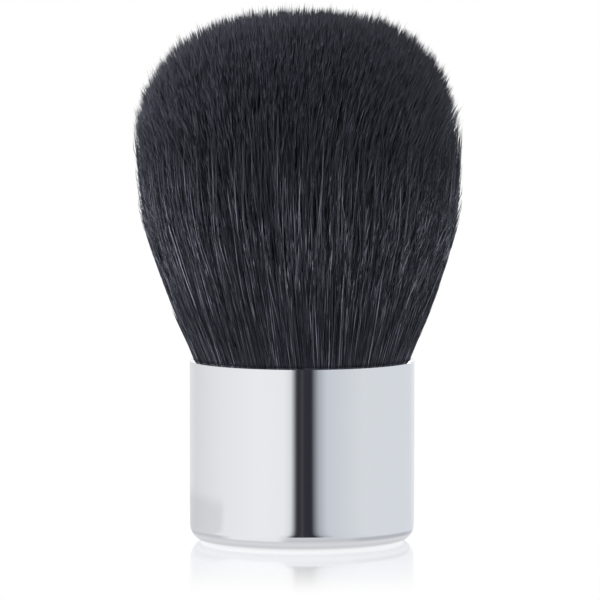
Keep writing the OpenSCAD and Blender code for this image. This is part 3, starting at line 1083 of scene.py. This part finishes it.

# What the foot's corner sees in the floor close to it, from under the cup outwards, over a width of the floor:
# a painted reflection, with a band of painted contact shade
FOOT_START, FOOT_WIDTH = 14 * MM, 7 * MM
PAINTED_FOOT_TONES = [
    (0.0, (0.90, 0.90, 0.91)),
    (0.075, (0.86, 0.86, 0.88)),
    (0.125, (0.66, 0.67, 0.69)),
    (0.17, (0.66, 0.67, 0.69)),
    (0.27, (0.73, 0.74, 0.76)),
    (0.40, (0.65, 0.66, 0.69)),
    (0.49, (0.58, 0.59, 0.62)),
    (1.0, (0.66, 0.67, 0.70)),
]


def floor_finish():
    """White gloss board. The camera sees it white, with the brush's shadow and, near the foot, its reflection.

    Polished metal sees a painted reflection in it, which glows only for glossy rays: painted studio tones,
    turned as if every part of it were far away, and painted tones and shade close to the foot.
    """
    tree = new_finish("white_board")
    x, y, _ = tree.axes(tree.place())
    radius = (x * x + y * y) ** 0.5
    angle = x.maths("ARCTAN2", x, y * -1)
    half = angle / 2
    far_angle = angle + cup_high.x * half.maths("SINE", half) / radius
    turn = far_angle / (2 * math.pi) + 0.5
    from_gap = turn - GAP
    beside = from_gap.maths("ABSOLUTE", from_gap)
    # The painted dark gap is wider close to the foot
    turn = turn - from_gap * (1 - beside.between(0.05, 0.14)) * 0.22 * (1 - radius.between(24 * MM, 46 * MM))
    foot = tree.ramp((radius - FOOT_START) / FOOT_WIDTH, PAINTED_FOOT_TONES)
    # Painted reflections of light boards in the foot's corner, on the left and on the right
    painted_left_board = radius.between(16.5 * MM, 17.5 * MM) * turn.between(0.27, 0.33) * (1 - turn.between(0.45, 0.48))
    painted_right_board = radius.between(16.2 * MM, 17.2 * MM) * turn.between(0.60, 0.66) * (1 - turn.between(0.82, 0.88))
    foot = tree.mix(painted_left_board * 0.9, foot, (0.90, 0.91, 0.92))
    foot = tree.mix(painted_right_board * 0.8, foot, (0.47, 0.49, 0.52))
    near_foot = 1 - (radius + 3 * MM * beside.between(0.05, 0.12)).between(21 * MM, 23.5 * MM)
    # Painted shadow in the painted reflection: the grey patch low down on the left
    painted_shadow_patch = (1 - radius.between(60 * MM, 85 * MM)) * turn.between(0.005, 0.03) * (1 - turn.between(0.24, 0.27))
    tones = tree.mix(painted_shadow_patch * 0.30, tree.ramp(turn, PAINTED_STUDIO_TONES), (0.45, 0.48, 0.52))
    # Painted reflection: the floor glows with these tones for glossy rays only
    painted_reflection = tree.glow(tree.mix(near_foot, tones, foot))
    camera, glossy = tree.add("ShaderNodeLightPath", output=("Is Camera Ray", "Is Glossy Ray"))
    board = tree.add("ShaderNodeBsdfDiffuse", sockets={"Color": (0.86, 0.86, 0.87, 1)})
    bright_board = tree.add("ShaderNodeBsdfDiffuse", sockets={"Color": (1, 1, 1, 1)})
    lit_share = 0.12 * (1 - radius.between(22 * MM, 50 * MM))
    seen = tree.either(lit_share, tree.glow((1, 1, 1)), bright_board)
    gloss = tree.add("ShaderNodeBsdfGlossy", sockets={"Color": (1, 1, 1, 1), "Roughness": 0.05})
    fresnel = tree.add("ShaderNodeFresnel", sockets={"IOR": 1.45})
    fade = 1 - radius.between(18 * MM, 66 * MM)
    seen = tree.either(fresnel * fade, seen, gloss)
    below = tree.add("ShaderNodeNewGeometry", output="Backfacing")
    clear = tree.add("ShaderNodeBsdfTransparent")
    lit = tree.either(glossy, board, painted_reflection)
    tree.finish(tree.either(below, tree.either(camera, lit, seen), clear))
    return tree.owner


class BRUSH_PT_panel(bpy.types.Panel):
    """The pieces of the brush, in the order in which they are made"""

    bl_label = "Kabuki brush"
    bl_idname = "BRUSH_PT_panel"
    bl_space_type = "VIEW_3D"
    bl_region_type = "UI"
    bl_category = "Brush"

    def draw(self, context):
        for operator in STEPS:
            self.layout.operator(operator.bl_idname)
        for name in SETTINGS:
            group = getattr(context.scene, name)
            box = self.layout.box()
            for value in group.__annotations__:
                box.prop(group, value)


SETTINGS = {
    "brush_cup": CupSettings,
    "brush_thread": ThreadSettings,
    "brush_hair": HairSettings,
    "brush_studio": StudioSettings,
}
STEPS = (BRUSH_OT_cup, BRUSH_OT_inner, BRUSH_OT_thread, BRUSH_OT_hair_heart, BRUSH_OT_hair, BRUSH_OT_studio)


def register():
    for kind in (*SETTINGS.values(), *STEPS, BRUSH_PT_panel):
        bpy.utils.register_class(kind)
    for name, kind in SETTINGS.items():
        setattr(bpy.types.Scene, name, PointerProperty(type=kind))


def unregister():
    for name in SETTINGS:
        delattr(bpy.types.Scene, name)
    for kind in reversed((*SETTINGS.values(), *STEPS, BRUSH_PT_panel)):
        bpy.utils.unregister_class(kind)


def main():
    register()
    bpy.ops.brush.cup()
    bpy.ops.brush.inner()
    bpy.ops.brush.thread()
    bpy.ops.brush.hair_heart()
    bpy.ops.brush.hair()
    bpy.ops.brush.studio()


if __name__ == "__main__":
    main()
